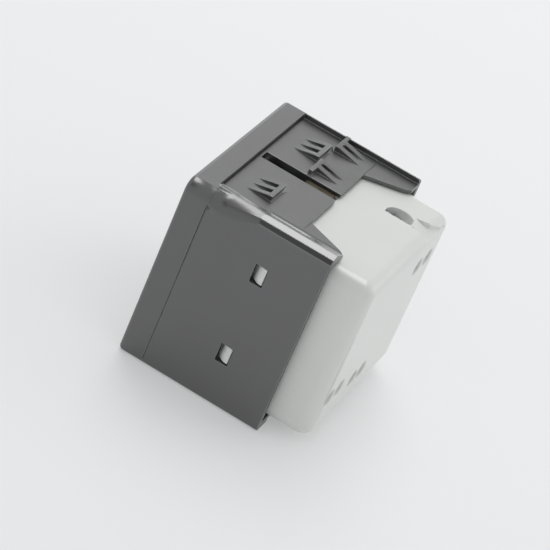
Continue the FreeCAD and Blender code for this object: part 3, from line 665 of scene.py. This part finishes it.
class SOCKET_OT_stage(bpy.types.Operator):
    """Add the floor, the surroundings, the softboxes and the camera"""
    bl_idname = "socket.stage"
    bl_label = "Stage"

    def execute(self, context):
        setting = context.scene.socket_stage
        self.floor(setting)
        self.surroundings(setting)
        self.softboxes(setting)
        self.camera()
        return {"FINISHED"}

    def floor(self, setting):
        """Wide floor under the socket."""
        deselect()
        bpy.ops.mesh.primitive_plane_add(size=FLOOR_WIDTH, location=(0.0, 0.0, -FLOOR_DROP))
        piece = bpy.context.active_object
        piece.name = "studio_floor"
        material, nodes, links, shader = node_tree("floor_paper")
        place = object_place(nodes, links)
        tone = blend_colours(nodes, links, noise(nodes, links, place, PAPER_CLOUDS),
                             scaled(setting.floor, FLOOR_SHADE), setting.floor)
        links.new(tone, shader.inputs["Base Color"])
        shader.inputs["Roughness"].default_value = FLOOR_ROUGHNESS
        shader.inputs["Specular IOR Level"].default_value = FLOOR_GLOSS
        plain = nodes.new("ShaderNodeEmission")
        plain.inputs["Color"].default_value = (*scaled(setting.floor, setting.floor_level), 1.0)
        paper = nodes.new("ShaderNodeMixShader")
        links.new(ramp(nodes, links, seen_rays(nodes, links), (0.0, 1.0), 0.0, setting.floor_plain),
                  paper.inputs["Fac"])
        links.new(shader.outputs["BSDF"], paper.inputs[1])
        links.new(plain.outputs["Emission"], paper.inputs[2])
        links.new(paper.outputs["Shader"], nodes["Material Output"].inputs["Surface"])
        piece.data.materials.append(material)

    def surroundings(self, setting):
        """White all around; as seen and mirrored it has its own strength and is darker on the near side."""
        world = bpy.data.worlds.new("studio")
        bpy.context.scene.world = world
        world.use_nodes = True
        nodes = world.node_tree.nodes
        links = world.node_tree.links
        background = nodes["Background"]
        background.inputs["Color"].default_value = SKY_COLOUR
        towards = nodes.new("ShaderNodeTexCoord")
        near = nodes.new("ShaderNodeVectorMath")
        near.operation = "DOT_PRODUCT"
        near.inputs[1].default_value = NEAR_SIDE
        links.new(towards.outputs["Generated"], near.inputs[0])
        mirrored = ramp(nodes, links, near.outputs["Value"], NEAR_FADE, setting.seen, setting.seen_near)
        strength = nodes.new("ShaderNodeMix")
        links.new(seen_rays(nodes, links), strength.inputs["Factor"])
        strength.inputs[MIX_NUMBERS[0]].default_value = setting.surroundings
        links.new(mirrored, strength.inputs[MIX_NUMBERS[1]])
        links.new(strength.outputs[MIXED_NUMBER], background.inputs["Strength"])

    def softboxes(self, setting):
        """Flat lamps aimed at the socket."""
        lo, hi = CAD_BOX
        centre = (lo + hi) / 2
        for name, direction, wide, high, distance, power, lights_matt in SOFTBOXES:
            lamp = bpy.data.lights.new(name, "AREA")
            lamp.shape = "RECTANGLE"
            lamp.size = wide
            lamp.size_y = high
            lamp.energy = getattr(setting, power)
            box = bpy.data.objects.new(name, lamp)
            bpy.context.scene.collection.objects.link(box)
            away = Vector(direction).normalized()
            box.location = centre + away * distance
            box.rotation_euler = away.to_track_quat("Z", "Y").to_euler()
            box.visible_diffuse = lights_matt

    def camera(self):
        """Camera at the measured place."""
        camera = bpy.data.objects.new("camera", bpy.data.cameras.new("camera"))
        bpy.context.scene.collection.objects.link(camera)
        camera.matrix_world = look_from(CAMERA_PLACE, (CAMERA_RIGHT, CAMERA_UP, CAMERA_BACK))
        camera.data.sensor_width = CAMERA_SENSOR
        camera.data.lens = CAMERA_LENS
        camera.data.clip_start, camera.data.clip_end = CAMERA_REACH
        bpy.context.scene.camera = camera
        bpy.context.scene.view_settings.view_transform = "Standard"


OPERATORS = (SOCKET_OT_cover, SOCKET_OT_housing, SOCKET_OT_contacts, SOCKET_OT_terminals, SOCKET_OT_stage)


class SOCKET_PT_panel(bpy.types.Panel):
    """List of the steps that dress the socket"""
    bl_idname = "SOCKET_PT_panel"
    bl_label = "Socket insert"
    bl_space_type = "VIEW_3D"
    bl_region_type = "UI"
    bl_category = "Socket"

    def draw(self, context):
        layout = self.layout
        for group in SETTINGS:
            settings = getattr(context.scene, group)
            for key in settings.__annotations__:
                layout.prop(settings, key)
        for operator in OPERATORS:
            layout.operator(operator.bl_idname)


SETTINGS = {
    "socket_plastic": PlasticSettings,
    "socket_metal": MetalSettings,
    "socket_edges": EdgeSettings,
    "socket_stage": StageSettings,
}


def register():
    """Register the settings, the operators and the panel."""
    for name, group in SETTINGS.items():
        bpy.utils.register_class(group)
        setattr(bpy.types.Scene, name, bpy.props.PointerProperty(type=group))
    for operator in OPERATORS:
        bpy.utils.register_class(operator)
    bpy.utils.register_class(SOCKET_PT_panel)


def unregister():
    """Remove what register added."""
    bpy.utils.unregister_class(SOCKET_PT_panel)
    for operator in reversed(OPERATORS):
        bpy.utils.unregister_class(operator)
    for name, group in SETTINGS.items():
        delattr(bpy.types.Scene, name)
        bpy.utils.unregister_class(group)


def main():
    """Dress the socket step by step."""
    register()
    bpy.ops.socket.cover()
    bpy.ops.socket.housing()
    bpy.ops.socket.contacts()
    bpy.ops.socket.terminals()
    bpy.ops.socket.stage()
    deselect()


if __name__ == "__main__":
    main()
